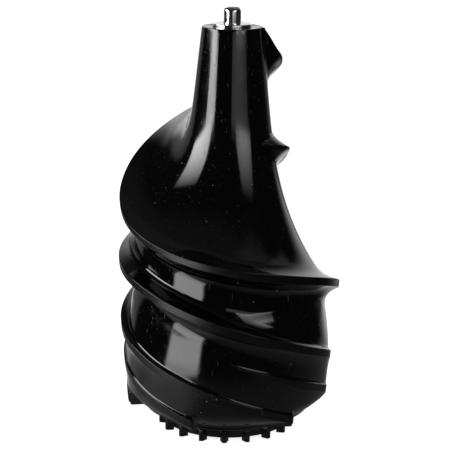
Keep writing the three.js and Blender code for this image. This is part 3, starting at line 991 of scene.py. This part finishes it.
def floor_reflection(nodes):
    """What the gloss mirrors of the floor: dark in front, light behind, the window's light at the left."""
    spot = nodes.add("ShaderNodeNewGeometry").outputs["Position"]
    axes = nodes.add("ShaderNodeSeparateXYZ", {"Vector": spot}).outputs
    away = nodes.add("ShaderNodeVectorMath", {0: spot}, operation="LENGTH").outputs["Value"]
    angle = bearing(nodes, axes["X"], axes["Y"])
    right_back = nodes.ramp(angle, 118, 146)
    left_back = nodes.ramp(angle, -152, -128, 1.0, 0.0)
    fade_out = nodes.ramp(away, 0.24, 0.36, 1.0, 0.2)
    glow_near = product(nodes, nodes.ramp(away, 0.05, 0.22, 0.14, 1.0), fade_out)
    turned_away = nodes.ramp(nodes.math("ABSOLUTE", angle), 150, 164)
    far_back = product(nodes, turned_away, nodes.ramp(away, 0.24, 0.36))
    sides = greatest(nodes, right_back, left_back)
    back = product(nodes, sides, greatest(nodes, glow_near, far_back), BACK_LEVEL)
    near = nodes.ramp(away, 0.07, 0.18, 0.11, 0.0)
    close = between(nodes, away, 0.05, 0.16, 0.05)
    left_near = product(nodes, between(nodes, angle, -135, -88, 30), close, 0.2)
    left_side = product(nodes, between(nodes, angle, -160, -124, 10), 0.25)
    sheen = product(nodes, between(nodes, angle, -84, -30, 24), between(nodes, away, 0.05, 0.14, 0.05), 0.42)
    front_edge = nodes.math("ADD", 0.17, nodes.math("MULTIPLY", angle, 0.0012))
    inside = nodes.math("SUBTRACT", away, front_edge)
    window = product(nodes, between(nodes, angle, -64, -28, 4), nodes.ramp(inside, 0.0, 0.03),
                     nodes.ramp(away, 0.1, 0.25, 0.55, 1.0), nodes.ramp(away, 1.1, 1.3, 1.0, 0.0), 5.2)
    return total(nodes, greatest(nodes, back, left_side), near, left_near, sheen, window, FRONT_LEVEL)


def make_floor():
    """White floor, which looks in reflections as floor_reflection says."""
    side = FLOOR_HALF
    corners = [(-side, -side, 0), (side, -side, 0), (side, side, 0), (-side, side, 0)]
    floor = mesh_object("floor", corners, [(0, 1, 2, 3)])
    material = new_material("floor_white")
    nodes = Nodes(material.node_tree)
    path = nodes.add("ShaderNodeLightPath").outputs
    mirrored = floor_reflection(nodes)
    shiny = nodes.math("MAXIMUM", path["Is Glossy Ray"], path["Is Transmission Ray"])
    seen = nodes.math("MULTIPLY", path["Is Camera Ray"], FLOOR_SEEN)
    strength = nodes.math("ADD", seen, nodes.math("MULTIPLY", shiny, mirrored))
    glow = nodes.add("ShaderNodeEmission", {"Color": (1, 1, 1, 1), "Strength": strength})
    matt = nodes.add("ShaderNodeBsdfDiffuse", {"Color": (0.8, 0.8, 0.8, 1)})
    dark = nodes.add("ShaderNodeBsdfDiffuse", {"Color": (0, 0, 0, 1)})
    base = nodes.add("ShaderNodeMixShader", {0: shiny, 1: matt.outputs[0], 2: dark.outputs[0]})
    nodes.finish(nodes.add("ShaderNodeAddShader", {0: glow.outputs[0], 1: base.outputs[0]}).outputs[0])
    floor.data.materials.append(material)


def make_world():
    world = bpy.data.worlds.new("studio")
    bpy.context.scene.world = world
    world.use_nodes = True
    world.node_tree.nodes.clear()
    nodes = Nodes(world.node_tree)
    path = nodes.add("ShaderNodeLightPath").outputs
    towards = nodes.add("ShaderNodeTexCoord").outputs["Generated"]
    way = nodes.add("ShaderNodeSeparateXYZ", {"Vector": towards}).outputs
    angle = bearing(nodes, way["X"], way["Y"])
    rise = nodes.math("DEGREES", nodes.math("ARCSINE", way["Z"]))
    right_back = nodes.ramp(angle, 122, 146)
    left_back = nodes.ramp(angle, -162, -148, 1.0, 0.0)
    behind = nodes.math("MAXIMUM", right_back, left_back)
    back = product(nodes, behind, nodes.ramp(rise, 8, 45, BACK_LEVEL, 0.03))
    top = nodes.ramp(rise, 38, 65, 0.0, TOP_LEVEL)
    boxes = greatest(nodes, *[panel_level(nodes, angle, rise, item) for item in PANELS])
    mirrored = total(nodes, back, top, FRONT_LEVEL, boxes)
    shiny = nodes.math("MAXIMUM", path["Is Glossy Ray"], path["Is Transmission Ray"])
    seen = path["Is Camera Ray"]
    other = nodes.math("SUBTRACT", 1.0, nodes.math("MAXIMUM", shiny, seen))
    plain = nodes.math("MULTIPLY", other, OTHER_LEVEL)
    strength = total(nodes, nodes.math("MULTIPLY", shiny, mirrored), seen, plain)
    sky = nodes.add("ShaderNodeBackground", {"Color": (1, 1, 1, 1), "Strength": strength})
    nodes.add("ShaderNodeOutputWorld", {"Surface": sky.outputs[0]})


def plain_lamp(name, side, distance, height, size, radiance):
    """Square lamp that lights the object plainly; the gloss shows the soft boxes instead of it."""
    light = bpy.data.lights.new(name, "AREA")
    light.size = size
    light.energy = radiance * math.pi * size ** 2
    lamp = new_object(name, light)
    turn = math.radians(side)
    lamp.location = (distance * math.sin(turn), -distance * math.cos(turn), height)
    lamp.rotation_mode = "QUATERNION"
    lamp.rotation_quaternion = (-lamp.location).to_track_quat("-Z", "Y")
    lamp.visible_camera = False
    lamp.visible_glossy = False
    return lamp


def make_lamps():
    plain_lamp("left_lamp", side=-60, distance=0.8, height=0.4, size=0.4, radiance=5.0)
    plain_lamp("right_lamp", side=40, distance=0.9, height=0.5, size=0.5, radiance=2.0)


def make_camera():
    data = bpy.data.cameras.new("camera")
    data.sensor_width = SENSOR_WIDTH
    data.lens = FOCAL_PIXELS / IMAGE_SIZE * SENSOR_WIDTH
    data.clip_start = CLIP_NEAR
    data.clip_end = CLIP_FAR
    camera = new_object("camera", data)
    yaw = Matrix.Rotation(math.radians(CAMERA_YAW), 4, "Z")
    pitch = Matrix.Rotation(math.radians(90 - CAMERA_PITCH), 4, "X")
    roll = Matrix.Rotation(math.radians(CAMERA_ROLL), 4, "Z")
    stand = Matrix.Translation((0, -CAMERA_DISTANCE, CAMERA_HEIGHT))
    camera.matrix_world = stand @ yaw @ pitch @ roll
    bpy.context.scene.camera = camera


make_camera()
make_screw()
make_pin()
make_flange()
make_tooth_ring()
make_seal()
make_hub()
make_bush()
dress_hidden_nodes()
make_floor()
make_world()
make_lamps()
bpy.context.scene.view_settings.view_transform = "Standard"
